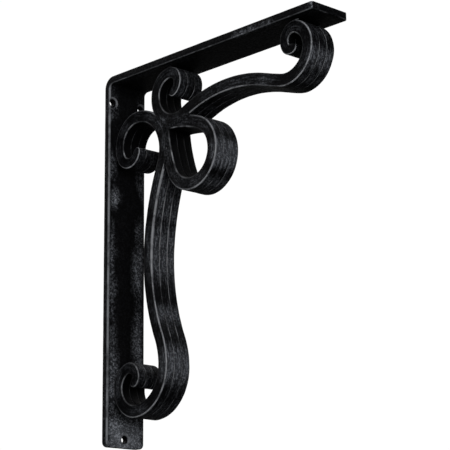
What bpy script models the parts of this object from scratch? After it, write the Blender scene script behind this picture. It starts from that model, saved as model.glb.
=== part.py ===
"""Wrought iron shelf bracket: a bent flat bar carried by a brace of scrolled square bars.

Row frame: X out from the wall, Y across the bar, Z up. The origin is on the wall face,
midway between the two upper screw holes. All sizes below are in millimetres.
"""
import math

import bmesh
import bpy
from mathutils import Vector

MM = 0.001

# Bent flat bar
BAR_WIDTH = 50.8
BAR_THICK = 8.2
ARM_DEPTH = 317.5
WALL_HEIGHT = 406.4
BEND_OUTER_RADIUS = 13.0
FOOT_CORNER_RADIUS = 5.5
TIP_CORNER_RADIUS = 3.0
HOLE_DROP = 28.5
HOLE_SPACING = 40.0
FOOT_HOLE_DROP = 397.5
HOLE_RADIUS = 3.3
SINK_RADIUS = 5.6
SINK_DEPTH = 2.6

# Scrolled brace: three square bars side by side
BRACE_WIDTH = 32.0
LAYERS = ("near", "middle", "far")
GAP = 0.3
BRACE_THICK = 12.5
TIP_THICK = 10.0
TIP_TAPER = 45.0
STEP_DEG = 9.0
STEP_MAX = 14.0

TOP = HOLE_DROP
FOOT = TOP - WALL_HEIGHT

# Bar under the arm, from the tip of its end scroll to the tip of its inner scroll
ARM_START = (283.2, TOP - 32.9)
ARM_HEADING = 248.1
ARM_ARCS = (
    (6.9, -123.9),    # end scroll, eye
    (12.5, -147.3),   # end scroll, inner turn
    (23.6, -82.9),    # end scroll, under the tip of the arm
    (31.4, -89.7),    # end scroll, outer turn
    (605.0, -2.1),    # run out of the end scroll
    (173.9, 19.1),    # rise towards the middle
    (167.6, 23.3),    # fall towards the joint
    (29.7, -41.1),    # turn up at the joint
    (31.1, -75.1),    # inner scroll, outer turn
    (22.0, -95.5),    # inner scroll, under the arm
    (11.7, -138.3),   # inner scroll, inner turn
    (7.0, -53.0),     # inner scroll, eye
)

# Bar along the wall, from the tip of its foot scroll to the tip of its upper scroll
WALL_START = (36.5, TOP - 342.3)
WALL_HEADING = -10.0
WALL_ARCS = (
    (6.0, 103.4),     # foot scroll, eye
    (11.1, 103.3),    # foot scroll, inner turn
    (20.2, 81.1),     # foot scroll, against the wall
    (27.8, 83.2),     # foot scroll, lower turn
    (44.1, 91.1),     # foot scroll, outer turn
    (81.2, 21.2),     # run out of the foot scroll
    (212.5, -25.9),   # lower half of the stem
    (255.2, -20.7),   # upper half of the stem
    (45.7, 40.5),     # turn over at the joint
    (42.6, 77.0),     # upper scroll, outer turn
    (28.3, 113.0),    # upper scroll, against the wall
    (13.9, 109.1),    # upper scroll, inner turn
    (11.0, 58.6),     # upper scroll, eye
)

# Ring between the two bars, its inner outline from the corner at the joint
RING_START = (94.9, TOP - 78.4)
RING_HEADING = -82.9
RING_ARCS = (
    (184.3, 13.9),    # side along the stem
    (25.2, 72.7),     # lower left turn
    (26.6, 90.6),     # lower right turn
    (26.3, 64.5),     # upper right turn
    (131.5, 14.3),    # side along the arm bar
    (133.8, 4.8),     # run back to the corner
)
RING_THICK = 12.8
RING_STEP = 6.0
RING_TOE_REACH = 9.0

IRON = (0.045, 0.045, 0.048, 1.0)


def clear_scene():
    for item in list(bpy.data.objects):
        bpy.data.objects.remove(item, do_unlink=True)


def material(name):
    """Dark iron for one named piece."""
    mat = bpy.data.materials.new(name)
    mat.use_nodes = True
    shader = mat.node_tree.nodes["Principled BSDF"]
    shader.inputs["Base Color"].default_value = IRON
    shader.inputs["Metallic"].default_value = 0.6
    shader.inputs["Roughness"].default_value = 0.55
    return mat


def route(start, heading_deg, arcs, step_max=STEP_MAX):
    """Stations (x, z, heading, distance) along a chain of arcs that join smoothly."""
    x, z = start
    heading = math.radians(heading_deg)
    travel = 0.0
    stations = [(x, z, heading, travel)]
    for radius, turn_deg in arcs:
        turn = math.radians(turn_deg)
        length = radius * abs(turn)
        steps = max(2, math.ceil(abs(turn_deg) / STEP_DEG), math.ceil(length / step_max))
        signed = math.copysign(radius, turn)
        centre_x = x - signed * math.sin(heading)
        centre_z = z + signed * math.cos(heading)
        for i in range(1, steps + 1):
            angle = heading + turn * i / steps
            stations.append((
                centre_x + signed * math.sin(angle),
                centre_z - signed * math.cos(angle),
                angle,
                travel + length * i / steps,
            ))
        x, z, heading, travel = stations[-1]
    return stations


def half_thickness(travel, total):
    """Half the bar's thickness, drawn down evenly towards each tip."""
    near_tip = min(travel, total - travel, TIP_TAPER) / TIP_TAPER
    return 0.5 * (TIP_THICK + (BRACE_THICK - TIP_THICK) * near_tip)


def crossing(px, pz, dx, dz, a, b):
    """Distance along a ray from (px, pz) to the segment a-b, or None."""
    ex = b[0] - a[0]
    ez = b[1] - a[1]
    det = dx * ez - dz * ex
    if abs(det) < 1e-9:
        return None
    wx = a[0] - px
    wz = a[1] - pz
    along = (wx * ez - wz * ex) / det
    share = (wx * dz - wz * dx) / det
    if along < 0.0 or share < 0.0 or share > 1.0:
        return None
    return along


def clear_reach(x, z, dx, dz, limit, walls, gap):
    """How far a ray runs, up to a limit, while it stays a gap short of every wall."""
    reach = limit
    for wall in walls:
        for a, b in zip(wall, wall[1:]):
            hit = crossing(x, z, dx, dz, a, b)
            if hit is not None:
                reach = min(reach, hit - gap)
    return reach


def bar_edges(stations, wall=()):
    """The left and right outlines of a bar, its left side flattened against a wall."""
    total = stations[-1][3]
    left = []
    right = []
    for x, z, heading, travel in stations:
        half = half_thickness(travel, total)
        nx = -math.sin(heading)
        nz = math.cos(heading)
        reach = clear_reach(x, z, nx, nz, half, (wall,), 1.6 * GAP)
        left.append((x + nx * reach, z + nz * reach))
        right.append((x - nx * half, z - nz * half))
    return left, right


def strip_mesh(name, left, right, y_low, y_high, closed=False):
    """A solid between two outlines in the XZ plane, from y_low to y_high."""
    bm = bmesh.new()
    rows = []
    for (lx, lz), (rx, rz) in zip(left, right):
        rows.append((
            bm.verts.new((lx * MM, y_low * MM, lz * MM)),
            bm.verts.new((rx * MM, y_low * MM, rz * MM)),
            bm.verts.new((rx * MM, y_high * MM, rz * MM)),
            bm.verts.new((lx * MM, y_high * MM, lz * MM)),
        ))
    pairs = list(zip(rows, rows[1:]))
    if closed:
        pairs.append((rows[-1], rows[0]))
    for first, second in pairs:
        for i in range(4):
            j = (i + 1) % 4
            bm.faces.new((first[i], first[j], second[j], second[i]))
    if not closed:
        bm.faces.new(rows[0][::-1])
        bm.faces.new(rows[-1])
    bmesh.ops.recalc_face_normals(bm, faces=bm.faces)
    if bm.calc_volume(signed=True) < 0.0:
        bmesh.ops.reverse_faces(bm, faces=bm.faces)
    mesh = bpy.data.meshes.new(name)
    bm.to_mesh(mesh)
    bm.free()
    return mesh


def shade_round(mesh):
    """Smooth shading with the square edges kept sharp."""
    mesh.shade_smooth()
    mesh.set_sharp_from_angle(angle=math.radians(35.0))


def add_object(name, mesh, shift_y=0.0):
    obj = bpy.data.objects.new(name, mesh)
    obj.location = (0.0, shift_y * MM, 0.0)
    bpy.context.scene.collection.objects.link(obj)
    return obj


def ring_edges(walls):
    """Inner and outer outlines of the ring, cut back where it meets the two bars."""
    stations = route(RING_START, RING_HEADING, RING_ARCS, RING_STEP)
    inner = []
    outer = []
    for x, z, heading, travel in stations:
        dx = math.sin(heading)
        dz = -math.cos(heading)
        reach = clear_reach(x, z, dx, dz, RING_THICK, walls, 1.3 * GAP)
        inner.append((x, z))
        outer.append((x + dx * reach, z + dz * reach))
    # The toe fills the pocket where the two bars part.
    toe_x = stations[0][0]
    toe_z = stations[-1][1]
    side = math.sqrt(0.5)
    reach = clear_reach(toe_x, toe_z, -side, side, RING_TOE_REACH, walls, 2.0 * GAP)
    inner.append((toe_x, toe_z))
    outer.append((toe_x - side * reach, toe_z + side * reach))
    return outer, inner


def arc_half_width(distance, radius):
    """Half width of the flat bar at a distance from an end with rounded corners."""
    inset = max(0.0, radius - distance)
    return 0.5 * BAR_WIDTH - radius + math.sqrt(max(0.0, radius * radius - inset * inset))


def flat_bar_mesh(name):
    """The bent flat bar: wall plate and arm in one length, with rounded end corners."""
    half = 0.5 * BAR_THICK
    bend = BEND_OUTER_RADIUS - half
    rows = []
    corner_steps = 4
    for i in range(corner_steps + 1):
        rise = FOOT_CORNER_RADIUS * (1.0 - math.cos(0.5 * math.pi * i / corner_steps))
        rows.append((half, FOOT + rise, 90.0, arc_half_width(rise, FOOT_CORNER_RADIUS)))
    for i in range(9):
        angle = math.radians(90.0 * i / 8)
        rows.append((
            BEND_OUTER_RADIUS - bend * math.cos(angle),
            TOP - BEND_OUTER_RADIUS + bend * math.sin(angle),
            90.0 - 90.0 * i / 8,
            0.5 * BAR_WIDTH,
        ))
    for i in range(corner_steps, -1, -1):
        back = TIP_CORNER_RADIUS * (1.0 - math.cos(0.5 * math.pi * i / corner_steps))
        rows.append((ARM_DEPTH - back, TOP - half, 0.0, arc_half_width(back, TIP_CORNER_RADIUS)))
    bm = bmesh.new()
    rings = []
    for x, z, heading_deg, width in rows:
        heading = math.radians(heading_deg)
        nx = -math.sin(heading) * half
        nz = math.cos(heading) * half
        rings.append([
            bm.verts.new(((x + nx) * MM, -width * MM, (z + nz) * MM)),
            bm.verts.new(((x - nx) * MM, -width * MM, (z - nz) * MM)),
            bm.verts.new(((x - nx) * MM, width * MM, (z - nz) * MM)),
            bm.verts.new(((x + nx) * MM, width * MM, (z + nz) * MM)),
        ])
    for first, second in zip(rings, rings[1:]):
        for i in range(4):
            j = (i + 1) % 4
            bm.faces.new((first[i], first[j], second[j], second[i]))
    bm.faces.new(rings[0][::-1])
    bm.faces.new(rings[-1])
    bmesh.ops.recalc_face_normals(bm, faces=bm.faces)
    if bm.calc_volume(signed=True) < 0.0:
        bmesh.ops.reverse_faces(bm, faces=bm.faces)
    mesh = bpy.data.meshes.new(name)
    bm.to_mesh(mesh)
    bm.free()
    return mesh


def screw_cutter(name, y, z):
    """A countersunk screw hole's shape, turned about X, sunk from the room side."""
    profile = (
        (-2.0, HOLE_RADIUS),
        (BAR_THICK - SINK_DEPTH, HOLE_RADIUS),
        (BAR_THICK, SINK_RADIUS),
        (BAR_THICK + 2.0, SINK_RADIUS),
    )
    sides = 32
    bm = bmesh.new()
    rings = []
    for x, radius in profile:
        ring = []
        for i in range(sides):
            angle = 2.0 * math.pi * i / sides
            place = Vector((x, y + radius * math.cos(angle), z + radius * math.sin(angle)))
            ring.append(bm.verts.new(place * MM))
        rings.append(ring)
    for first, second in zip(rings, rings[1:]):
        for i in range(sides):
            j = (i + 1) % sides
            bm.faces.new((first[i], first[j], second[j], second[i]))
    bm.faces.new(rings[0][::-1])
    bm.faces.new(rings[-1])
    bmesh.ops.recalc_face_normals(bm, faces=bm.faces)
    if bm.calc_volume(signed=True) < 0.0:
        bmesh.ops.reverse_faces(bm, faces=bm.faces)
    mesh = bpy.data.meshes.new(name)
    bm.to_mesh(mesh)
    bm.free()
    cutter = add_object(name, mesh)
    cutter.hide_render = True
    cutter.display_type = "WIRE"
    return cutter


def make_flat_bar():
    obj = add_object("flat_bar", flat_bar_mesh("flat_bar"))
    obj.data.materials.append(material("flat_bar"))
    shade_round(obj.data)
    holes = (
        ("screw_near", -0.5 * HOLE_SPACING, 0.0),
        ("screw_far", 0.5 * HOLE_SPACING, 0.0),
        ("screw_foot", 0.0, TOP - FOOT_HOLE_DROP),
    )
    for name, y, z in holes:
        cutter = screw_cutter(name, y, z)
        cut = obj.modifiers.new(name, "BOOLEAN")
        cut.operation = "DIFFERENCE"
        cut.solver = "EXACT"
        cut.object = cutter


def make_brace():
    """Three like layers of arm bar, wall bar and ring, side by side across the width."""
    layer_width = (BRACE_WIDTH - GAP * (len(LAYERS) - 1)) / len(LAYERS)
    first_y = -0.5 * BRACE_WIDTH
    wall_left, wall_right = bar_edges(route(WALL_START, WALL_HEADING, WALL_ARCS))
    arm_left, arm_right = bar_edges(route(ARM_START, ARM_HEADING, ARM_ARCS), wall_right)
    ring_outer, ring_inner = ring_edges((arm_left, wall_right))
    shapes = (
        ("arm_scroll", arm_left, arm_right, False),
        ("wall_scroll", wall_left, wall_right, False),
        ("ring", ring_outer, ring_inner, True),
    )
    for name, left, right, closed in shapes:
        mesh = strip_mesh(name, left, right, first_y, first_y + layer_width, closed)
        for i, layer in enumerate(LAYERS):
            own = mesh if i == 0 else mesh.copy()
            shade_round(own)
            piece = add_object(name + "_" + layer, own, i * (layer_width + GAP))
            piece.data.materials.append(material(name + "_" + layer))


clear_scene()
make_flat_bar()
make_brace()
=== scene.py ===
"""Dresses the wrought iron bracket: forged bars, welds, rubbed edges with painted highlights,
painted shade and mottled black iron.
"""
import math

import bmesh
import bpy
import numpy
from mathutils import Matrix, Vector


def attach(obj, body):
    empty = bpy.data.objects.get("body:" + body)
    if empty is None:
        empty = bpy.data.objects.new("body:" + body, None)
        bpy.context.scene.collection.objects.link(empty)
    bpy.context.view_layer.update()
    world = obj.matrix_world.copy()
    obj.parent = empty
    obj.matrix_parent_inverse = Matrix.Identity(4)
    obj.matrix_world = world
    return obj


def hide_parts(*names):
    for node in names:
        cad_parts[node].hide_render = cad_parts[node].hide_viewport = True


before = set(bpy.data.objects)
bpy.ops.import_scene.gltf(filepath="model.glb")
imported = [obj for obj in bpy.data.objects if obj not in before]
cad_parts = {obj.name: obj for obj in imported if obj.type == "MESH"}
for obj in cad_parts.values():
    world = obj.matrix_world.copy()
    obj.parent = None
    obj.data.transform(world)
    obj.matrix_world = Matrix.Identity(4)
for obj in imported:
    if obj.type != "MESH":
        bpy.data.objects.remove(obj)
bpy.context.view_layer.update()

MM = 0.001

# Sizes that repeat the solids, in millimetres, in the row frame.
TOP = 28.5
BAR_WIDTH = 50.8
BAR_THICK = 8.2
ARM_DEPTH = 317.5
WALL_HEIGHT = 406.4
BEND_RADIUS = 13.0
FOOT_CORNER = 5.5
TIP_CORNER = 3.0
HOLE_SPACING = 40.0
FOOT_HOLE_Z = TOP - 397.5
SCREW_HOLES = (
    ("screw_near", -0.5 * HOLE_SPACING, 0.0),
    ("screw_far", 0.5 * HOLE_SPACING, 0.0),
    ("screw_foot", 0.0, FOOT_HOLE_Z),
)
HOLE_RADIUS = 3.3
SINK_RADIUS = 5.6
SINK_DEPTH = 2.6
BRACE_WIDTH = 32.0
BRACE_THICK = 12.5
RING_THICK = 12.8
TIP_THICK = 10.0
TIP_TAPER = 45.0
TIP_ROUND = 4.5
LAYERS = ("near", "middle", "far")
LAYER_PITCH = BRACE_WIDTH / len(LAYERS)
JOINT_X = 88.0
JOINT_Z = TOP - 73.0

# Each bar is a chain of arcs in the bracket's own plane: start (x, z) and heading in degrees,
# then the radius and the turn in degrees of each arc.
ARM_START = (283.2, TOP - 32.9)
ARM_HEADING = 248.1
ARM_ARCS = (
    (6.9, -123.9),
    (12.5, -147.3),
    (23.6, -82.9),
    (31.4, -89.7),
    (605.0, -2.1),
    (173.9, 19.1),
    (167.6, 23.3),
    (29.7, -41.1),
    (31.1, -75.1),
    (22.0, -95.5),
    (11.7, -138.3),
    (7.0, -53.0),
)
WALL_START = (36.5, TOP - 342.3)
WALL_HEADING = -10.0
WALL_ARCS = (
    (6.0, 103.4),
    (11.1, 103.3),
    (20.2, 81.1),
    (27.8, 83.2),
    (44.1, 91.1),
    (81.2, 21.2),
    (212.5, -25.9),
    (255.2, -20.7),
    (45.7, 40.5),
    (42.6, 77.0),
    (28.3, 113.0),
    (13.9, 109.1),
    (11.0, 58.6),
)
# The ring's start and radii are those of its inner face.
RING_START = (94.9, TOP - 78.4)
RING_HEADING = -82.9
RING_ARCS = (
    (184.3, 13.9),
    (25.2, 72.7),
    (26.6, 90.6),
    (26.3, 64.5),
    (131.5, 14.3),
    (133.8, 4.8),
)
# Nearly straight runs that let the ring's two ends into the joint.
RING_LEAD = 3.0
RING_RUN_IN = (1000.0, 0.172)
RING_RUN_OUT = (1000.0, 0.7)

# Hammer dents in millimetres: how deep they are, and how far apart.
BAR_DENTS = (0.35, 11.0)
PLATE_DENTS = (0.18, 16.0)
SEAM_DENTS = (0.4, 4.0)
TACK_DENTS = (0.5, 2.0)

# How the dressed bars differ from the solids, in millimetres. The dents only go in, so a bar
# starts thick, and it ends about 0.4 mm proud of its solid.
DENT_DEPTH = BAR_DENTS[0]
THICK_SPARE = 2.0 * DENT_DEPTH + 0.5
LAYER_WIDTH = LAYER_PITCH + DENT_DEPTH + 0.2
BAR_ROUNDING = 1.1
WALL_SCROLL_SHIFT = -0.4
RING_LAYERS_CLOSER = 0.2
PLATE_ROUNDING = 0.7

# How finely the pieces are modelled, in millimetres, and the sides of a round hole.
SPIN_STEP = 2.0
MERGE_GAP = 0.01
ROW = 5.0
DRILL_LENGTH = 24.0
HOLE_SIDES = 48

# Where the pale dust lies thickest, with painted highlights on the brace's outward curves and
# painted light on the plate beside the brace's painted shadow:
# place, reach both ways and strength. The places are (x, z) on the brace, (y, z) on the wall plate,
# and (x, depth) on the arm's near edge.
BAR_DUST_AND_HIGHLIGHTS = (
    (168.0, TOP - 118.0, 8.0, 14.0, 1.35),
    (142.0, TOP - 144.0, 13.0, 8.0, 0.7),
    (154.0, TOP - 86.0, 14.0, 9.0, 0.45),
    (111.0, TOP - 128.0, 8.0, 16.0, 0.6),
    (104.0, TOP - 78.0, 14.0, 8.0, 0.6),
    (84.0, TOP - 68.0, 10.0, 8.0, 0.8),
    (90.0, TOP - 90.0, 6.0, 10.0, 0.8),
    (95.0, TOP - 105.0, 5.0, 10.0, 0.7),
    (115.0, TOP - 73.0, 13.0, 6.0, 0.6),
    (66.0, TOP - 58.0, 8.0, 6.0, 0.5),
    (82.0, TOP - 150.0, 10.0, 26.0, 0.9),
    (70.0, TOP - 206.0, 9.0, 26.0, 1.0),
    (80.0, TOP - 272.0, 8.0, 9.0, 0.8),
    (90.0, TOP - 328.0, 9.0, 17.0, 1.25),
    (192.0, TOP - 53.0, 26.0, 7.0, 0.55),
    (241.0, TOP - 59.0, 13.0, 7.0, 0.9),
    (101.0, TOP - 17.0, 7.0, 5.0, 0.7),
    (24.0, TOP - 62.0, 8.0, 7.0, 0.6),
    (15.0, TOP - 340.0, 5.0, 16.0, 0.8),
    (52.0, TOP - 372.0, 13.0, 5.0, 0.8),
    (307.0, TOP - 56.0, 8.0, 13.0, 1.0),
    (292.0, TOP - 74.0, 8.0, 8.0, 0.5),
)
PLATE_DUST_AND_LIT_PATCHES = (
    (-18.0, TOP - 136.0, 6.0, 9.0, 1.0),
    (-22.0, TOP - 205.0, 4.0, 34.0, 0.7),
    (18.5, TOP - 172.0, 5.0, 12.0, 0.8),
    (18.5, TOP - 214.0, 7.5, 26.0, 1.2),
    (20.0, TOP - 290.0, 8.0, 30.0, 1.1),
    (-20.0, TOP - 330.0, 8.0, 32.0, 0.8),
    (0.0, TOP - 394.0, 30.0, 19.0, 1.6),
)
ARM_EDGE_DUST = (
    (216.0, BAR_THICK, 9.0, 3.5, 0.9),
    (234.0, BAR_THICK, 6.0, 3.5, 0.8),
    (254.0, BAR_THICK, 7.0, 3.5, 0.7),
    (ARM_DEPTH, 4.0, 5.0, 4.0, 1.0),
)
DUST_SPREAD = 1.6

# The weld runs, as (x, z) points below the top of the arm, and how far their cores lie
# inside the brace's outer faces.
WELD_SEAMS = (
    ("stem", ((88.6, -120.0), (90.5, -112.0), (92.6, -103.0), (93.2, -94.0), (91.6, -84.0),
              (88.6, -76.5), (86.5, -71.5))),
    ("arm", ((128.5, -68.2), (121.0, -70.8), (112.0, -73.0), (103.0, -73.6), (95.0, -73.0),
             (90.0, -72.0), (86.5, -71.0))),
    ("bars", ((91.0, -76.0), (86.5, -70.5), (82.5, -65.5), (78.5, -61.0), (75.4, -57.6))),
)
WELD_INSET = 0.3
WELD_RADIUS = 3.0
WELD_FLATNESS = 0.24
WELD_DUST = 0.6
# The tack welds: name, (x, z) place and half sizes.
TACK_WELDS = (
    ("foot", (BAR_THICK + 0.6, TOP - 347.0), (1.0, 1.0, 6.2)),
    ("upper", (BAR_THICK + 0.6, TOP - 82.0), (1.0, 1.0, 8.0)),
    ("inner", (97.0, TOP - BAR_THICK - 0.5), (3.2, 1.2, 0.9)),
    ("end", (287.0, TOP - BAR_THICK - 0.5), (3.0, 1.2, 0.9)),
)

# Half widths in metres, for the materials.
HALF_LAYER = 0.5 * LAYER_WIDTH * MM
HALF_BAR = 0.5 * BAR_WIDTH * MM

# Grain: noise scale, detail and roughness, and how the lines and strokes are stretched.
SPECKLE = (420.0, 4.0, 0.75)
STREAKS = (1.0, 4.0, 0.7)
DRAWN_LINES = (90.0, 1500.0, 1500.0)
BRUSH_STROKES = (600.0, 420.0, 700.0)
BRUSH_SLANT = (0.6, 0.6, 0.0)
BAR_SPECKLE_SHARE = 0.42
PLATE_SPECKLE_SHARE = 0.6
# Where the grain turns from bare iron to a fleck of dust.
BAR_FLECKS = (0.475, 0.60)
PLATE_FLECKS = (0.45, 0.62)
DUST_FILM = 0.12
# Clouds that break up dust, painted light and the rubbed, highlighted lines: noise scale, and where
# they go from 0 to 1.
BAR_CLOUDS = (30.0, 0.42, 0.62)
PLATE_CLOUDS = (26.0, 0.42, 0.60)
FOOT_CLOUDS = (60.0, 0.36, 0.60)
CURL_LINE_GAPS = (38.0, 0.42, 0.58)
JOINT_LINE_GAPS = (55.0, 0.42, 0.60)
ARM_LINE_GAPS = (110.0, 0.44, 0.60)
PLATE_LINE_GAPS = (90.0, 0.42, 0.60)
BAR_UNEVEN = 75.0
PLATE_UNEVEN = 45.0
# Colours: bare iron; the pale dust, which also paints highlights and lit patches; and the rubbed
# metal, which also paints edge highlights; for the brace and for the flat bar.
IRON_BLACK = (0.0003, 0.0003, 0.0005)
BRACE_SLATE = (0.104, 0.110, 0.124)
BRACE_RUB_AND_HIGHLIGHT = (0.16, 0.165, 0.175)
PLATE_SLATE = (0.165, 0.175, 0.195)
PLATE_RUB_AND_HIGHLIGHT = (0.125, 0.130, 0.140)

# The camera in metres and degrees, fitted to the photograph's perspective.
CAMERA_PLACE = (1.3690, -1.1322, -0.5978 + TOP * MM)
CAMERA_TURN = 46.77
CAMERA_LIFT = 13.77
CAMERA_ROLL = -0.46
CAMERA_LENS = 133.6
# Light strengths, the overhead light's spread in degrees, and the floor in metres.
ROOM_LIGHT = 0.14
BACKDROP_LIGHT = 1.02
OVERHEAD_LIGHT = 2.7
OVERHEAD_SPREAD = 35.0
FLOOR_SIZE = 80.0
FLOOR_HEIGHT = -1.7
# The soft lamps: name, place and side in metres, and watts. All point at the bracket's middle.
LAMP_AIM = (0.1, 0.0, -0.15)
SOFT_LAMPS = (
    ("soft_front", (1.8, -0.9, 0.2), 1.2, 36.0),
    ("soft_left", (0.1, -2.0, 0.3), 1.5, 18.0),
    ("soft_right", (-0.3, 2.1, 0.5), 1.5, 26.0),
    ("soft_back", (-1.9, 0.2, 0.6), 1.5, 28.0),
)


# ---- camera, light and floor


def place_camera():
    """The photograph's view: from below, in front and to one side of the arm."""
    turn = math.radians(CAMERA_TURN)
    lift = math.radians(CAMERA_LIFT)
    roll = math.radians(CAMERA_ROLL)
    forward = Vector((
        -math.sin(turn) * math.cos(lift),
        math.cos(turn) * math.cos(lift),
        math.sin(lift),
    ))
    level = Vector((math.cos(turn), math.sin(turn), 0.0))
    upright = level.cross(forward)
    right = math.cos(roll) * level + math.sin(roll) * upright
    up = -math.sin(roll) * level + math.cos(roll) * upright
    data = bpy.data.cameras.new("camera")
    data.lens = CAMERA_LENS
    data.sensor_width = 36.0
    data.clip_start = 0.05
    data.clip_end = 50.0
    camera = bpy.data.objects.new("camera", data)
    bpy.context.scene.collection.objects.link(camera)
    axes = Matrix((right, up, -forward)).transposed().to_4x4()
    camera.matrix_world = Matrix.Translation(CAMERA_PLACE) @ axes
    bpy.context.scene.camera = camera


def soft_lamp(name, place, side, watts):
    data = bpy.data.lights.new(name, "AREA")
    data.shape = "RECTANGLE"
    data.size = side
    data.size_y = side
    data.energy = watts
    lamp = bpy.data.objects.new(name, data)
    lamp.location = place
    toward = Vector(LAMP_AIM) - Vector(place)
    lamp.rotation_euler = toward.to_track_quat("-Z", "Y").to_euler()
    bpy.context.scene.collection.objects.link(lamp)


def white_room():
    """Dim white light from all round, with a bright white backdrop for the camera."""
    world = bpy.data.worlds.new("studio")
    bpy.context.scene.world = world
    world.use_nodes = True
    tree = world.node_tree
    room = tree.nodes["Background"]
    room.inputs["Color"].default_value = (1.0, 1.0, 1.0, 1.0)
    room.inputs["Strength"].default_value = ROOM_LIGHT
    backdrop = tree.nodes.new("ShaderNodeBackground")
    backdrop.inputs["Color"].default_value = (1.0, 1.0, 1.0, 1.0)
    backdrop.inputs["Strength"].default_value = BACKDROP_LIGHT
    path = tree.nodes.new("ShaderNodeLightPath")
    blend = tree.nodes.new("ShaderNodeMixShader")
    link(tree, path.outputs["Is Camera Ray"], blend.inputs[0])
    link(tree, room.outputs["Background"], blend.inputs[1])
    link(tree, backdrop.outputs["Background"], blend.inputs[2])
    link(tree, blend.outputs["Shader"], tree.nodes["World Output"].inputs["Surface"])


def light_studio():
    """Broad soft light in front of a white backdrop, over a pale floor."""
    bpy.context.scene.view_settings.view_transform = "Standard"
    white_room()
    for name, place, side, watts in SOFT_LAMPS:
        soft_lamp(name, place, side, watts)
    sky = bpy.data.lights.new("overhead", "SUN")
    sky.energy = OVERHEAD_LIGHT
    sky.angle = math.radians(OVERHEAD_SPREAD)
    bpy.context.scene.collection.objects.link(bpy.data.objects.new("overhead", sky))
    bpy.ops.mesh.primitive_plane_add(size=FLOOR_SIZE, location=(0.0, 0.0, FLOOR_HEIGHT))
    floor = bpy.context.object
    floor.name = "floor"
    pale = bpy.data.materials.new("pale_floor")
    pale.use_nodes = True
    shader = pale.node_tree.nodes["Principled BSDF"]
    shader.inputs["Base Color"].default_value = (0.86, 0.86, 0.86, 1.0)
    shader.inputs["Roughness"].default_value = 0.9
    floor.data.materials.append(pale)
    # The bracket hangs on a wall, so the floor throws no light back up at it.
    floor.visible_glossy = False
    floor.visible_diffuse = False


# ---- sums on shader values


def link(tree, a, b):
    tree.links.new(a, b)


def feed(tree, value, socket):
    """Sets a socket to a number, or links it to another node's output."""
    if isinstance(value, (int, float)):
        socket.default_value = value
    else:
        link(tree, value, socket)


def maths(tree, kind, a, b, clamp=False):
    node = tree.nodes.new("ShaderNodeMath")
    node.operation = kind
    node.use_clamp = clamp
    feed(tree, a, node.inputs[0])
    feed(tree, b, node.inputs[1])
    return node.outputs["Value"]


def gathered(tree, kind, values):
    """Joins all the values with one operation, from left to right."""
    total = values[0]
    for value in values[1:]:
        total = maths(tree, kind, total, value)
    return total


def times(tree, *values):
    return gathered(tree, "MULTIPLY", values)


def most(tree, *values):
    return gathered(tree, "MAXIMUM", values)


def least(tree, *values):
    return gathered(tree, "MINIMUM", values)


def plus(tree, a, b):
    return maths(tree, "ADD", a, b)


def minus(tree, a, b):
    return maths(tree, "SUBTRACT", a, b)


def unsigned(tree, value):
    return maths(tree, "ABSOLUTE", value, 0.0)


def capped(tree, a, b):
    """The product of two values, kept between 0 and 1."""
    return maths(tree, "MULTIPLY", a, b, True)


def between(tree, share, low, high):
    """From the number low, where the share is 0, to the number high, where it is 1."""
    return plus(tree, times(tree, share, high - low), low)


def blended(tree, a, b, share):
    """A share of a, and b for the rest."""
    return plus(tree, times(tree, a, share), times(tree, b, 1.0 - share))


def fade(tree, value, start, stop):
    """0 at start and 1 at stop, with a soft step between; start may be the larger."""
    node = tree.nodes.new("ShaderNodeMapRange")
    node.interpolation_type = "SMOOTHSTEP"
    feed(tree, start, node.inputs["From Min"])
    feed(tree, stop, node.inputs["From Max"])
    link(tree, value, node.inputs["Value"])
    return node.outputs["Result"]


def mix(tree, share, a, b):
    """Blends from colour a to colour b; either may be a fixed colour."""
    node = tree.nodes.new("ShaderNodeMix")
    node.data_type = "RGBA"
    link(tree, share, node.inputs[0])
    for socket, value in ((node.inputs[6], a), (node.inputs[7], b)):
        if isinstance(value, tuple):
            socket.default_value = (*value, 1.0)
        else:
            link(tree, value, socket)
    return node.outputs[2]


def ramp(tree, value, stops):
    """A colour or grey ramp: stops are (position, (r, g, b))."""
    node = tree.nodes.new("ShaderNodeValToRGB")
    band = node.color_ramp
    while len(band.elements) < len(stops):
        band.elements.new(0.5)
    for element, (position, colour) in zip(band.elements, stops):
        element.position = position
        element.color = (*colour, 1.0)
    link(tree, value, node.inputs["Fac"])
    return node.outputs["Color"]


def noise(tree, place, kind, stretch=None, slant=(0.0, 0.0, 0.0)):
    """Soft noise of a kind: its scale, detail and roughness."""
    scale, detail, rough = kind
    node = tree.nodes.new("ShaderNodeTexNoise")
    node.inputs["Scale"].default_value = scale
    node.inputs["Detail"].default_value = detail
    node.inputs["Roughness"].default_value = rough
    if stretch:
        mapping = tree.nodes.new("ShaderNodeMapping")
        mapping.inputs["Rotation"].default_value = slant
        mapping.inputs["Scale"].default_value = stretch
        link(tree, place, mapping.inputs["Vector"])
        place = mapping.outputs["Vector"]
    link(tree, place, node.inputs["Vector"])
    return node.outputs["Fac"]


def stored(tree, name, output="Fac"):
    """What a piece's own mesh stores under a name: a number, or a vector."""
    node = tree.nodes.new("ShaderNodeAttribute")
    node.attribute_name = name
    return node.outputs[output]


def split(tree, vector):
    node = tree.nodes.new("ShaderNodeSeparateXYZ")
    link(tree, vector, node.inputs[0])
    return node.outputs


def object_coords(tree):
    return tree.nodes.new("ShaderNodeTexCoord").outputs["Object"]


def patches(tree, kind):
    """Soft clouds of 0 and 1: a higher scale gives smaller ones."""
    scale, low, high = kind
    cloud = noise(tree, object_coords(tree), (scale, 3.0, 0.6))
    return fade(tree, cloud, low, high)


def uneven(tree, scale):
    """A soft uneven share, never quite nothing, that breaks up the rubbed and highlighted lines."""
    cloud = noise(tree, object_coords(tree), (scale, 5.0, 0.75))
    return between(tree, fade(tree, cloud, 0.34, 0.58), 0.28, 1.0)


# ---- iron


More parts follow.
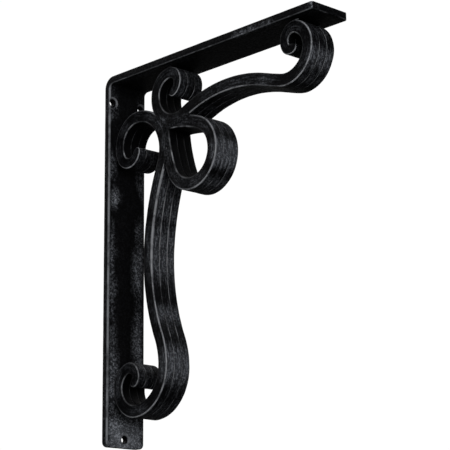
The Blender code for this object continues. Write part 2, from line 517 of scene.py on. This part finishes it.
def black_iron(name, dust, wear_and_highlight_mask, grain, slate, rubbed):
    """Blackened iron with pale dust in the grain and bright rubbed edges; the dust mask also paints
    highlights and lit patches, and the wear mask paints edge highlights.
    """
    mat = bpy.data.materials.new(name)
    mat.use_nodes = True
    tree = mat.node_tree
    shader = tree.nodes["Principled BSDF"]
    # The dust mask also paints highlights and leaves painted shade black; the wear mask also paints
    # edge highlights.
    dusted_and_lit_colour = mix(tree, dust(tree), IRON_BLACK, slate)
    worn_and_lit_colour = mix(tree, wear_and_highlight_mask(tree), dusted_and_lit_colour, rubbed)
    link(tree, worn_and_lit_colour, shader.inputs["Base Color"])
    fine = grain(tree)
    gloss = ramp(tree, fine, ((0.40, (0.72, 0.72, 0.72)), (0.62, (0.45, 0.45, 0.45))))
    link(tree, gloss, shader.inputs["Roughness"])
    shader.inputs["Specular IOR Level"].default_value = 0.03
    bump = tree.nodes.new("ShaderNodeBump")
    bump.inputs["Strength"].default_value = 0.5
    bump.inputs["Distance"].default_value = 0.4 * MM
    link(tree, fine, bump.inputs["Height"])
    link(tree, bump.outputs["Normal"], shader.inputs["Normal"])
    return mat


def filled(tree, fleck, thick):
    """Flecks of dust that run together where the dust and painted light lie thick."""
    return most(tree, fleck, times(tree, thick, DUST_FILM))


def bar_grain(tree):
    """Speckle mixed with fine drawn lines that run along each bent bar."""
    speckle = noise(tree, object_coords(tree), SPECKLE)
    drawn = noise(tree, stored(tree, "along_bar", "Vector"), STREAKS, DRAWN_LINES)
    return blended(tree, speckle, drawn, BAR_SPECKLE_SHARE)


def bar_dust_and_highlights(tree):
    """Pale dust on the open faces of the bars, with painted highlights where the curves face the
    light, and little inside the curls, which stay black as painted shade.
    """
    fleck = fade(tree, bar_grain(tree), *BAR_FLECKS)
    thick = stored(tree, "dust_light_share")
    thin = between(tree, patches(tree, BAR_CLOUDS), 0.05, 0.39)
    across = unsigned(tree, split(tree, stored(tree, "along_bar", "Vector"))[1])
    side_face = fade(tree, across, HALF_LAYER - 0.5 * MM, HALF_LAYER - 0.1 * MM)
    dust_and_shade_spread = times(tree, most(tree, thin, thick), between(tree, side_face, 1.0, 0.58))
    # The inner faces of the curls get almost no dust and stay black: painted shade inside the
    # curls.
    open_face = between(tree, stored(tree, "open_side"), 0.03, 1.0)
    return capped(tree, times(tree, filled(tree, fleck, thick), dust_and_shade_spread), open_face)


def bar_wear_and_highlights(tree):
    """Rubbed lines along the long edges of each bar, with painted edge highlights, widest on the
    near one, where the light falls.
    """
    _, across, out = split(tree, stored(tree, "along_bar", "Vector"))
    from_near = plus(tree, across, HALF_LAYER)
    from_far = minus(tree, HALF_LAYER, across)
    from_face = minus(tree, 0.5 * BRACE_THICK * MM, unsigned(tree, out))
    width = stored(tree, "rub_width")
    # The near edge of each layer gets a painted highlight, and the far edge a quarter as much,
    # since the light falls from the near side.
    near = fade(tree, most(tree, from_near, from_face), width, times(tree, width, 0.35))
    far = fade(tree, most(tree, from_far, from_face), 0.9 * MM, 0.3 * MM)
    lines = most(tree, near, times(tree, far, 0.25))
    # Inside the curls a line is mostly lost, and between the joint lines it comes and goes.
    line_share = stored(tree, "line_share")
    left = times(tree, line_share, patches(tree, CURL_LINE_GAPS))
    lost = times(tree, stored(tree, "inner_side"), minus(tree, 1.0, between(tree, left, 0.2, 0.75)))
    broken = between(tree, patches(tree, JOINT_LINE_GAPS), 0.12, 0.77)
    lines = times(tree, lines, minus(tree, 1.0, lost), most(tree, line_share, broken))
    # The far side of the brace has a thin line of its own, on its side face.
    on_side = times(
        tree,
        fade(tree, from_far, 0.8 * MM, 0.3 * MM),
        fade(tree, from_face, 2.2 * MM, 1.2 * MM),
        stored(tree, "far_layer"),
    )
    lines = times(tree, most(tree, lines, on_side), uneven(tree, BAR_UNEVEN))
    return capped(tree, lines, stored(tree, "rub_and_highlight"))


def plate_grain(tree):
    """Speckle mixed with short slanting brush strokes."""
    speckle = noise(tree, object_coords(tree), SPECKLE)
    strokes = noise(tree, object_coords(tree), STREAKS, BRUSH_STROKES, BRUSH_SLANT)
    return blended(tree, speckle, strokes, PLATE_SPECKLE_SHARE)


def plate_dust_and_shadow(tree):
    """Dust toward the long edges and the foot, with the middle left black as the brace's painted
    shadow, and little on the arm as painted shade on its underside.
    """
    fleck = fade(tree, plate_grain(tree), *PLATE_FLECKS)
    across = unsigned(tree, split(tree, stored(tree, "along_bar", "Vector"))[1])
    height = split(tree, object_coords(tree))[2]
    # Only the plate's long edges get dust: its middle stays black as painted shadow of the brace.
    side = times(tree, fade(tree, across, 9.0 * MM, 20.0 * MM), patches(tree, PLATE_CLOUDS), 0.5)
    at_foot = fade(tree, height, -315.0 * MM, -372.0 * MM)
    foot = times(tree, at_foot, patches(tree, FOOT_CLOUDS))
    # The arm gets a quarter as much: painted shade on its underside.
    on_leg = between(tree, fade(tree, height, 10.0 * MM, -10.0 * MM), 0.25, 1.0)
    inside_edge = fade(tree, minus(tree, HALF_BAR, across), 0.0, 2.0 * MM)
    dust_and_shade_spread = times(tree, most(tree, side, foot), on_leg, between(tree, inside_edge, 0.2, 1.0))
    thick = stored(tree, "dust_light_share")
    dust_and_shade_spread = times(tree, most(tree, between(tree, dust_and_shade_spread, 0.02, 1.0), thick), outside_holes(tree))
    return capped(tree, filled(tree, fleck, thick), dust_and_shade_spread)


def hole_reach(tree, hole_y, hole_z):
    """Distance from a screw hole's axis, and how far a point lies to its far and upper side."""
    _, y, z = split(tree, object_coords(tree))
    along = minus(tree, y, hole_y * MM)
    up = minus(tree, z, hole_z * MM)
    squares = plus(tree, times(tree, along, along), times(tree, up, up))
    return maths(tree, "SQRT", squares, 0.0), plus(tree, along, up)


def outside_holes(tree):
    """No dust inside the countersinks, which stay black as painted shade."""
    away = []
    for _, hole_y, hole_z in SCREW_HOLES:
        reach, _ = hole_reach(tree, hole_y, hole_z)
        away.append(fade(tree, reach, 3.9 * MM, 5.0 * MM))
    return least(tree, *away)


def hole_rims(tree):
    """A rubbed ring round each countersink with a painted highlight, strongest on its far and upper
    side, where the light catches it.
    """
    rings = []
    for _, hole_y, hole_z in SCREW_HOLES:
        reach, far_and_up = hole_reach(tree, hole_y, hole_z)
        rings.append(times(
            tree,
            fade(tree, reach, 4.2 * MM, 5.0 * MM),
            fade(tree, reach, 6.8 * MM, 6.0 * MM),
            fade(tree, far_and_up, -4.0 * MM, 5.0 * MM),
        ))
    x = split(tree, object_coords(tree))[0]
    return times(tree, most(tree, *rings), fade(tree, x, 4.6 * MM, 5.6 * MM))


def plate_wear_and_rim_highlights(tree):
    """A broad rubbed line on the near room-side edge, thin patchy ones elsewhere, and painted
    highlights on the countersink rims.
    """
    _, across, depth = split(tree, stored(tree, "along_bar", "Vector"))
    x, _, z = split(tree, object_coords(tree))
    from_near = plus(tree, across, HALF_BAR)
    from_far = minus(tree, HALF_BAR, across)
    from_front = minus(tree, BAR_THICK * MM, depth)
    from_foot = plus(tree, z, (WALL_HEIGHT - TOP) * MM)
    from_end = least(tree, from_foot, minus(tree, ARM_DEPTH * MM, x))
    on_wall = fade(tree, z, (TOP - 4.0) * MM, (TOP - 14.0) * MM)
    width = between(tree, on_wall, 1.2 * MM, 2.4 * MM)
    near = fade(tree, most(tree, from_near, from_front), width, times(tree, width, 0.4))
    broken = times(tree, patches(tree, ARM_LINE_GAPS), 0.55)
    near = times(tree, near, most(tree, on_wall, broken))
    side = least(tree, from_near, from_far)
    face = least(tree, from_front, depth)
    edge = least(tree, most(tree, side, face), most(tree, from_end, least(tree, side, face)))
    at_tip = fade(tree, x, (ARM_DEPTH - 12.0) * MM, (ARM_DEPTH - 3.0) * MM)
    keep = most(tree, on_wall, times(tree, at_tip, 0.6), 0.15)
    others = times(tree, fade(tree, edge, 1.5 * MM, 0.6 * MM), 0.55, keep)
    others = times(tree, others, patches(tree, PLATE_LINE_GAPS))
    lines = capped(tree, most(tree, near, others), uneven(tree, PLATE_UNEVEN))
    return most(tree, lines, times(tree, hole_rims(tree), 0.75))


# ---- modelling helpers


def deselect():
    bpy.ops.object.select_all(action="DESELECT")


def select_only(obj):
    deselect()
    obj.select_set(True)
    bpy.context.view_layer.objects.active = obj


def apply_modifier(obj, modifier):
    bpy.context.view_layer.objects.active = obj
    bpy.ops.object.modifier_apply(modifier=modifier.name)


def close_mesh():
    """Merges doubled points and turns the faces outwards, in edit mode."""
    bpy.ops.mesh.select_all(action="SELECT")
    bpy.ops.mesh.remove_doubles(threshold=MERGE_GAP * MM)
    bpy.ops.mesh.normals_make_consistent(inside=False)


def hammer(obj, dents_of):
    """Shallow uneven dents, always inwards from the surface."""
    depth, spacing = dents_of
    dents = bpy.data.textures.new(obj.name + "_dents", "CLOUDS")
    dents.noise_scale = spacing * MM
    dents.noise_depth = 2
    move = obj.modifiers.new("dents", "DISPLACE")
    move.texture = dents
    move.texture_coords = "GLOBAL"
    move.strength = depth * MM
    move.mid_level = 1.0
    apply_modifier(obj, move)


def slide(obj, x=0.0, y=0.0, z=0.0):
    """Moves a piece's own mesh, in millimetres, and leaves its object at the origin."""
    obj.data.transform(Matrix.Translation((x * MM, y * MM, z * MM)))


def copy_piece(obj, name):
    select_only(obj)
    bpy.ops.object.duplicate()
    twin = bpy.context.object
    twin.name = name
    twin.data.name = name
    return twin


def finish_piece(obj, mat, nodes):
    select_only(obj)
    bpy.ops.object.transform_apply(location=True, rotation=True, scale=True)
    bpy.ops.object.shade_smooth_by_angle(angle=math.radians(40.0))
    obj.data.materials.clear()
    obj.data.materials.append(mat)
    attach(obj, "root")
    if nodes:
        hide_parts(*nodes)


def vertex_places(obj):
    """The mesh's points, in metres, one row each."""
    flat = numpy.empty(len(obj.data.vertices) * 3)
    obj.data.vertices.foreach_get("co", flat)
    return flat.reshape(-1, 3)


def store_number(obj, name, values):
    """Stores a number at each point, or the same number at all of them."""
    layer = obj.data.attributes.new(name, "FLOAT", "POINT")
    layer.data.foreach_set("value", numpy.full(len(obj.data.vertices), values, dtype=float))


def store_along_bar(obj, travel, across, out):
    """Stores distance along, across and out of the bar, in metres, at each point."""
    layer = obj.data.attributes.new("along_bar", "FLOAT_VECTOR", "POINT")
    layer.data.foreach_set("vector", numpy.stack((travel, across, out), axis=1).ravel())


def dust_share(a, b, spots):
    """How near each point (a, b) is to a place where the dust and painted light lie thick."""
    share = numpy.zeros(len(a))
    for spot_a, spot_b, reach_a, reach_b, strength in spots:
        gap = numpy.hypot((a - spot_a) / reach_a, (b - spot_b) / reach_b)
        share = numpy.maximum(share, strength * numpy.clip(DUST_SPREAD - gap, 0.0, 1.0))
    return share


def rise(values, start, stop):
    """0 at start and 1 at stop, straight between, and flat outside."""
    return numpy.clip((values - start) / (stop - start), 0.0, 1.0)


# ---- scrolled bars


def bar_section(name, start, heading_deg, width, thick):
    """A flat face with rounded corners across the bar, at the start of its route."""
    deselect()
    heading = math.radians(heading_deg)
    bpy.ops.mesh.primitive_plane_add(size=1.0, location=(0.0, 0.0, 0.0))
    obj = bpy.context.object
    obj.name = name
    bpy.ops.object.mode_set(mode="EDIT")
    bpy.ops.transform.resize(value=(thick * MM, width * MM, 1.0))
    bpy.ops.mesh.bevel(offset=BAR_ROUNDING * MM, segments=4, affect="VERTICES")
    bm = bmesh.from_edit_mesh(obj.data)
    flats = [e for e in bm.edges if e.calc_length() > 3.0 * MM]
    bmesh.ops.subdivide_edges(bm, edges=flats, cuts=3)
    bmesh.update_edit_mesh(obj.data)
    bpy.ops.mesh.select_all(action="SELECT")
    across = Vector((-math.sin(heading), 0.0, math.cos(heading)))
    along = Vector((math.cos(heading), 0.0, math.sin(heading)))
    turn = Matrix((across, Vector((0.0, 1.0, 0.0)), along)).transposed()
    place = Vector((start[0] * MM, 0.0, start[1] * MM))
    bm = bmesh.from_edit_mesh(obj.data)
    for vert in bm.verts:
        vert.co = turn @ vert.co + place
    bmesh.update_edit_mesh(obj.data)
    return obj


def arc_centre(x, z, heading, signed):
    """The centre of an arc that leaves (x, z) at a heading; a left turn is positive."""
    return x - signed * math.sin(heading), z + signed * math.cos(heading)


def arc_point(centre, signed, heading):
    """Where such an arc has reached when it has come round to a heading."""
    return centre[0] + signed * math.sin(heading), centre[1] - signed * math.cos(heading)


def bend_along(start, heading_deg, arcs):
    """Spins the selected section round each arc in turn, as a bar is bent round a form."""
    x, z = start
    heading = math.radians(heading_deg)
    for radius, turn_deg in arcs:
        turn = math.radians(turn_deg)
        signed = math.copysign(radius, turn)
        centre = arc_centre(x, z, heading, signed)
        bpy.ops.mesh.spin(
            steps=max(3, round(radius * abs(turn) / SPIN_STEP), round(abs(turn_deg) / 5.0)),
            angle=turn,
            center=(centre[0] * MM, 0.0, centre[1] * MM),
            axis=(0.0, 1.0, 0.0),
        )
        heading += turn
        x, z = arc_point(centre, signed, heading)


def route_points(start, heading_deg, arcs):
    """Points (x, z, heading, distance) every millimetre or so along a route."""
    x, z = start
    heading = math.radians(heading_deg)
    travel = 0.0
    points = [(x, z, heading, travel)]
    for radius, turn_deg in arcs:
        turn = math.radians(turn_deg)
        signed = math.copysign(radius, turn)
        centre = arc_centre(x, z, heading, signed)
        length = radius * abs(turn)
        steps = max(2, round(length))
        for i in range(1, steps + 1):
            angle = heading + turn * i / steps
            points.append((*arc_point(centre, signed, angle), angle, travel + length * i / steps))
        x, z, heading, travel = points[-1]
    return points


def follow_route(obj, points, thick, taper, outer):
    """Stores where each point is on the bar, and draws the tips down in thickness.

    outer is +1 where the open side of the curls is to the left of the route.
    """
    route = numpy.array(points)
    coords = vertex_places(obj)
    spot = coords[:, (0, 2)] / MM
    gap = ((spot[:, None, :] - route[None, :, :2]) ** 2).sum(axis=2)
    place_x, place_z, heading, travel = route[gap.argmin(axis=1)].T
    normal = numpy.stack((-numpy.sin(heading), numpy.cos(heading)), axis=1)
    out = ((spot - numpy.stack((place_x, place_z), axis=1)) * normal).sum(axis=1)
    store_along_bar(obj, travel * MM, coords[:, 1], out * MM)
    # Points on the inner faces of the curls get 0 here, which keeps them black as painted shade.
    store_number(obj, "open_side", rise(out * outer + 0.5 * thick, 0.6, 2.6))
    store_number(obj, "inner_side", numpy.where(out * outer > 0.0, 0.0, 1.0))
    store_number(obj, "dust_light_share", dust_share(spot[:, 0], spot[:, 1], BAR_DUST_AND_HIGHLIGHTS))
    store_number(obj, "rub_and_highlight", edge_rub_and_lit_side(spot, out, normal))
    if taper:
        near_tip = numpy.minimum(travel, points[-1][3] - travel)
        drawn = rise(near_tip, 0.0, TIP_TAPER)
        share = (TIP_THICK + (thick - TIP_THICK) * drawn) / thick
        past = numpy.clip(1.0 - near_tip / TIP_ROUND, 0.0, 0.94)
        share = share * numpy.sqrt(1.0 - past * past)
        coords[:, (0, 2)] += normal * (out * (share - 1.0))[:, None] * MM
        obj.data.vertices.foreach_set("co", coords.ravel())
        obj.data.update()


def edge_rub_and_lit_side(spot, out, normal):
    """How much each edge is rubbed and highlighted, by its place (x, z) and the side of the bar it
    is on.
    """
    from_joint = numpy.hypot(spot[:, 0] - JOINT_X, spot[:, 1] - JOINT_Z)
    clear = rise(from_joint, 8.0, 17.0)
    # Edges facing the room and below, where the light falls, get the strongest painted highlight,
    # and those toward the wall and up stay dark as painted shade.
    facing = numpy.sign(out) * (0.85 * normal[:, 0] - 0.53 * normal[:, 1])
    lit_edge_share = 0.2 + 0.8 * rise(facing, -0.4, 0.4)
    # The arm scroll's line all but fades where its bars run level before the end scroll.
    level = rise(spot[:, 0], 205.0, 220.0) * rise(spot[:, 0], 268.0, 256.0)
    return clear * lit_edge_share * (1.0 - 0.6 * level)


def store_rub_width(obj, near, stem):
    """Rubbed and highlighted lines are thin and broken, and broad only down the stem's near edge.
    """
    z = vertex_places(obj)[:, 2] / MM
    down_stem = rise(z, TOP - 105.0, TOP - 120.0) * rise(z, TOP - 242.0, TOP - 212.0) * stem
    width = 1.3 + 1.1 * down_stem if near else 0.9 + 0.4 * down_stem
    share = 1.0 if near else 0.1 + 0.85 * down_stem
    store_number(obj, "rub_width", width * MM)
    store_number(obj, "line_share", share)


def forged_bar(name, start, heading, arcs, thick, taper, outer):
    """One scrolled bar, bent from a rounded square section and closed at both ends."""
    obj = bar_section(name, start, heading, LAYER_WIDTH, thick)
    bpy.ops.mesh.select_all(action="SELECT")
    bend_along(start, heading, arcs)
    bpy.ops.mesh.edge_face_add()
    close_mesh()
    bpy.ops.object.mode_set(mode="OBJECT")
    follow_route(obj, route_points(start, heading, arcs), thick, taper, outer)
    return obj


def ring_route():
    """The ring's middle line, from its inner face, with a run into the joint at each end."""
    heading = math.radians(RING_HEADING)
    half = 0.5 * RING_THICK
    start = (
        RING_START[0] + math.sin(heading) * half - math.cos(heading) * RING_LEAD,
        RING_START[1] - math.cos(heading) * half - math.sin(heading) * RING_LEAD,
    )
    arcs = tuple((radius + half, turn) for radius, turn in RING_ARCS)
    return start, RING_HEADING, (RING_RUN_IN,) + arcs + (RING_RUN_OUT,)


def make_brace(mat):
    """Three like layers of bars across the width, each copy with its own dents."""
    brace_thick = BRACE_THICK + THICK_SPARE
    ring_thick = RING_THICK + THICK_SPARE
    # Kind, start, heading, arcs, thickness, drawn tips, open side, shift in x, layer pitch.
    kinds = (
        ("arm_scroll", ARM_START, ARM_HEADING, ARM_ARCS, brace_thick, True, 1.0,
         0.0, LAYER_PITCH),
        ("wall_scroll", WALL_START, WALL_HEADING, WALL_ARCS, brace_thick, True, -1.0,
         WALL_SCROLL_SHIFT, LAYER_PITCH),
        ("ring", *ring_route(), ring_thick, False, -1.0,
         0.0, LAYER_PITCH - RING_LAYERS_CLOSER),
    )
    for kind, start, heading, arcs, thick, taper, outer, shift, pitch in kinds:
        first = forged_bar(kind + "_bar", start, heading, arcs, thick, taper, outer)
        for i, layer in enumerate(LAYERS):
            name = kind + "_bar_" + layer
            bar = first if i == len(LAYERS) - 1 else copy_piece(first, name)
            bar.name = name
            store_rub_width(bar, layer == "near", kind == "wall_scroll")
            store_number(bar, "far_layer", float(layer == "far"))
            slide(bar, x=shift, y=(i - 1) * pitch)
            hammer(bar, BAR_DENTS)
            finish_piece(bar, mat, [kind + "_" + layer])


# ---- flat bar


def make_flat_bar(mat):
    """The bent flat bar with rubbed edges, highlighted countersink rims and three countersunk screw
    holes.
    """
    deselect()
    bpy.ops.mesh.primitive_cube_add(size=1.0, location=(0.0, 0.0, 0.0))
    obj = bpy.context.object
    obj.name = "flat_bar_forged"
    bpy.ops.object.mode_set(mode="EDIT")
    bpy.ops.mesh.select_all(action="SELECT")
    straight = WALL_HEIGHT - BEND_RADIUS
    bpy.ops.transform.resize(value=(BAR_THICK * MM, BAR_WIDTH * MM, straight * MM))
    middle = (0.5 * BAR_THICK * MM, 0.0, (TOP - BEND_RADIUS - 0.5 * straight) * MM)
    bpy.ops.transform.translate(value=middle)
    bpy.ops.mesh.select_all(action="DESELECT")
    bpy.ops.mesh.select_mode(type="FACE")
    bm = bmesh.from_edit_mesh(obj.data)
    for face in bm.faces:
        face.select_set(face.normal.z > 0.9)
    top_faces = [f for f in bm.faces if f.select]
    bmesh.update_edit_mesh(obj.data)
    bpy.ops.mesh.spin(
        steps=14,
        angle=-0.5 * math.pi,
        center=(BEND_RADIUS * MM, 0.0, (TOP - BEND_RADIUS) * MM),
        axis=(0.0, 1.0, 0.0),
    )
    bpy.ops.mesh.extrude_region_move(
        TRANSFORM_OT_translate={"value": ((ARM_DEPTH - BEND_RADIUS) * MM, 0.0, 0.0)}
    )
    bm = bmesh.from_edit_mesh(obj.data)
    bmesh.ops.delete(bm, geom=[f for f in top_faces if f.is_valid], context="FACES_ONLY")
    bmesh.update_edit_mesh(obj.data)
    close_mesh()
    foot = (TOP - WALL_HEIGHT + 1.0) * MM
    tip = (ARM_DEPTH - 1.0) * MM
    round_corners(obj, FOOT_CORNER, 6, lambda e: e.z < foot and abs(e.y) > 20.0 * MM)
    round_corners(obj, TIP_CORNER, 4, lambda e: e.x > tip and abs(e.y) > 20.0 * MM)
    cut_rows()
    bpy.ops.object.mode_set(mode="OBJECT")
    soften = obj.modifiers.new("soften", "BEVEL")
    soften.width = PLATE_ROUNDING * MM
    soften.segments = 3
    soften.limit_method = "ANGLE"
    soften.angle_limit = math.radians(50.0)
    apply_modifier(obj, soften)
    hammer(obj, PLATE_DENTS)
    for name, y, z in SCREW_HOLES:
        drill(obj, name, y, z)
    follow_plate(obj)
    finish_piece(obj, mat, ["flat_bar"])


def follow_plate(obj):
    """Stores distance along, across and through the flat bar, round its bend, and its dust and
    painted light.
    """
    x, y, z = vertex_places(obj).T
    bend = BEND_RADIUS * MM
    top = TOP * MM
    angle = numpy.arctan2(z - (top - bend), bend - x)
    reach = numpy.hypot(x - bend, z - (top - bend))
    on_wall = z < top - bend
    on_arm = x > bend
    depth = numpy.where(on_wall, x, numpy.where(on_arm, top - z, bend - reach))
    travel = numpy.where(on_wall, z, numpy.where(on_arm, top + x, top - bend + angle * bend))
    store_along_bar(obj, travel, y, depth)
    x, y, z, depth = (v / MM for v in (x, y, z, depth))
    half = 0.5 * BAR_WIDTH
    leg_front = (abs(y) < half - 1.5) & (z < TOP - 30.0) & (depth > 0.5 * BAR_THICK)
    arm_edge = (y < 1.0 - half) & (z > TOP - BAR_THICK - 1.0)
    leg_dust = dust_share(y, z, PLATE_DUST_AND_LIT_PATCHES) * leg_front
    edge_dust = dust_share(x, depth, ARM_EDGE_DUST) * arm_edge
    store_number(obj, "dust_light_share", numpy.maximum(leg_dust, edge_dust))


def round_corners(obj, radius, segments, chosen):
    """Rounds the short edges through the bar's thickness at one end."""
    bpy.ops.mesh.select_mode(type="EDGE")
    bpy.ops.mesh.select_all(action="DESELECT")
    bm = bmesh.from_edit_mesh(obj.data)
    for edge in bm.edges:
        middle = (edge.verts[0].co + edge.verts[1].co) / 2
        through = abs(edge.calc_length() - BAR_THICK * MM) < 0.5 * MM
        edge.select_set(through and chosen(middle))
    bmesh.update_edit_mesh(obj.data)
    bpy.ops.mesh.bevel(offset=radius * MM, segments=segments, affect="EDGES")


def cut_rows():
    """Cuts the bar into small squares, so that the hammer dents can move it."""
    cuts = []
    # The cuts keep clear of the rounded corners, the bend and the tip.
    z = TOP - WALL_HEIGHT + 8.0
    while z < TOP - BEND_RADIUS - 2.0:
        cuts.append(((0.0, 0.0, z * MM), (0.0, 0.0, 1.0)))
        z += ROW
    x = BEND_RADIUS + 4.0
    while x < ARM_DEPTH - 5.0:
        cuts.append(((x * MM, 0.0, 0.0), (1.0, 0.0, 0.0)))
        x += ROW
    for i in range(-4, 5):
        cuts.append(((0.0, i * ROW * MM, 0.0), (0.0, 1.0, 0.0)))
    bpy.ops.mesh.select_mode(type="FACE")
    for place, normal in cuts:
        bpy.ops.mesh.select_all(action="SELECT")
        bpy.ops.mesh.bisect(plane_co=place, plane_no=normal)


def drill(obj, name, y, z):
    """One plain hole with a countersink on the room side."""
    flat = (0.0, 0.5 * math.pi, 0.0)
    deselect()
    bpy.ops.mesh.primitive_cylinder_add(
        vertices=HOLE_SIDES, radius=HOLE_RADIUS * MM, depth=DRILL_LENGTH * MM,
        location=(0.0, y * MM, z * MM), rotation=flat,
    )
    bore = bpy.context.object
    deselect()
    bpy.ops.mesh.primitive_cone_add(
        vertices=HOLE_SIDES, radius1=HOLE_RADIUS * MM, radius2=(SINK_RADIUS + SINK_DEPTH) * MM,
        depth=2.0 * SINK_DEPTH * MM, location=(BAR_THICK * MM, y * MM, z * MM), rotation=flat,
    )
    sink = bpy.context.object
    for tool in (bore, sink):
        cut = obj.modifiers.new(name, "BOOLEAN")
        cut.operation = "DIFFERENCE"
        cut.solver = "EXACT"
        cut.object = tool
        apply_modifier(obj, cut)
        bpy.data.objects.remove(tool, do_unlink=True)


# ---- welds


def weld_seam(name, points, y, mat):
    """A low weld run along a seam: a flattened bead through (x, z) points at depth y."""
    curve = bpy.data.curves.new(name, "CURVE")
    curve.dimensions = "3D"
    spline = curve.splines.new("NURBS")
    spline.points.add(len(points) - 1)
    for target, (x, z) in zip(spline.points, points):
        target.co = (x * MM, 0.0, z * MM, 1.0)
    spline.order_u = 4
    spline.use_endpoint_u = True
    curve.resolution_u = 10
    curve.bevel_depth = WELD_RADIUS * MM
    curve.bevel_resolution = 5
    curve.use_fill_caps = True
    bead = bpy.data.objects.new(name, curve)
    bpy.context.scene.collection.objects.link(bead)
    select_only(bead)
    bpy.ops.object.convert(target="MESH")
    bead = bpy.context.object
    bead.data.transform(Matrix.Diagonal((1.0, WELD_FLATNESS, 1.0, 1.0)))
    slide(bead, y=y)
    hammer(bead, SEAM_DENTS)
    x, _, z = vertex_places(bead).T / MM
    store_number(bead, "open_side", 0.8)
    store_number(bead, "dust_light_share", WELD_DUST * dust_share(x, z, BAR_DUST_AND_HIGHLIGHTS))
    finish_piece(bead, mat, [])


def weld_spot(name, place, half_sizes, mat):
    """A small tack weld: an uneven flattened bead."""
    deselect()
    bpy.ops.mesh.primitive_uv_sphere_add(
        segments=20, ring_count=12, radius=1.0, location=(0.0, 0.0, 0.0)
    )
    bead = bpy.context.object
    bead.name = name
    bead.data.transform(Matrix.Diagonal((*(v * MM for v in half_sizes), 1.0)))
    slide(bead, *place)
    hammer(bead, TACK_DENTS)
    store_number(bead, "open_side", 1.0)
    store_number(bead, "rub_and_highlight", 0.8)
    store_number(bead, "rub_width", 20.0 * MM)
    finish_piece(bead, mat, [])


def make_welds(mat):
    """Runs along the seams of the joint, and tacks where scrolls touch the flat bar."""
    depth = 0.5 * BRACE_WIDTH - WELD_INSET
    sides = (("near", -depth), ("far", depth))
    for side, y in sides:
        for label, seam in WELD_SEAMS:
            points = [(x, z + TOP) for x, z in seam]
            weld_seam("weld_" + label + "_" + side, points, y, mat)
    for side, y in sides:
        for label, (x, z), half_sizes in TACK_WELDS:
            weld_spot("tack_" + label + "_" + side, (x, y, z), half_sizes, mat)


place_camera()
light_studio()
brace_iron = black_iron("brace_iron", bar_dust_and_highlights, bar_wear_and_highlights, bar_grain, BRACE_SLATE, BRACE_RUB_AND_HIGHLIGHT)
flat_bar_iron = black_iron(
    "flat_bar_iron", plate_dust_and_shadow, plate_wear_and_rim_highlights, plate_grain, PLATE_SLATE, PLATE_RUB_AND_HIGHLIGHT
)
make_brace(brace_iron)
make_welds(brace_iron)
make_flat_bar(flat_bar_iron)
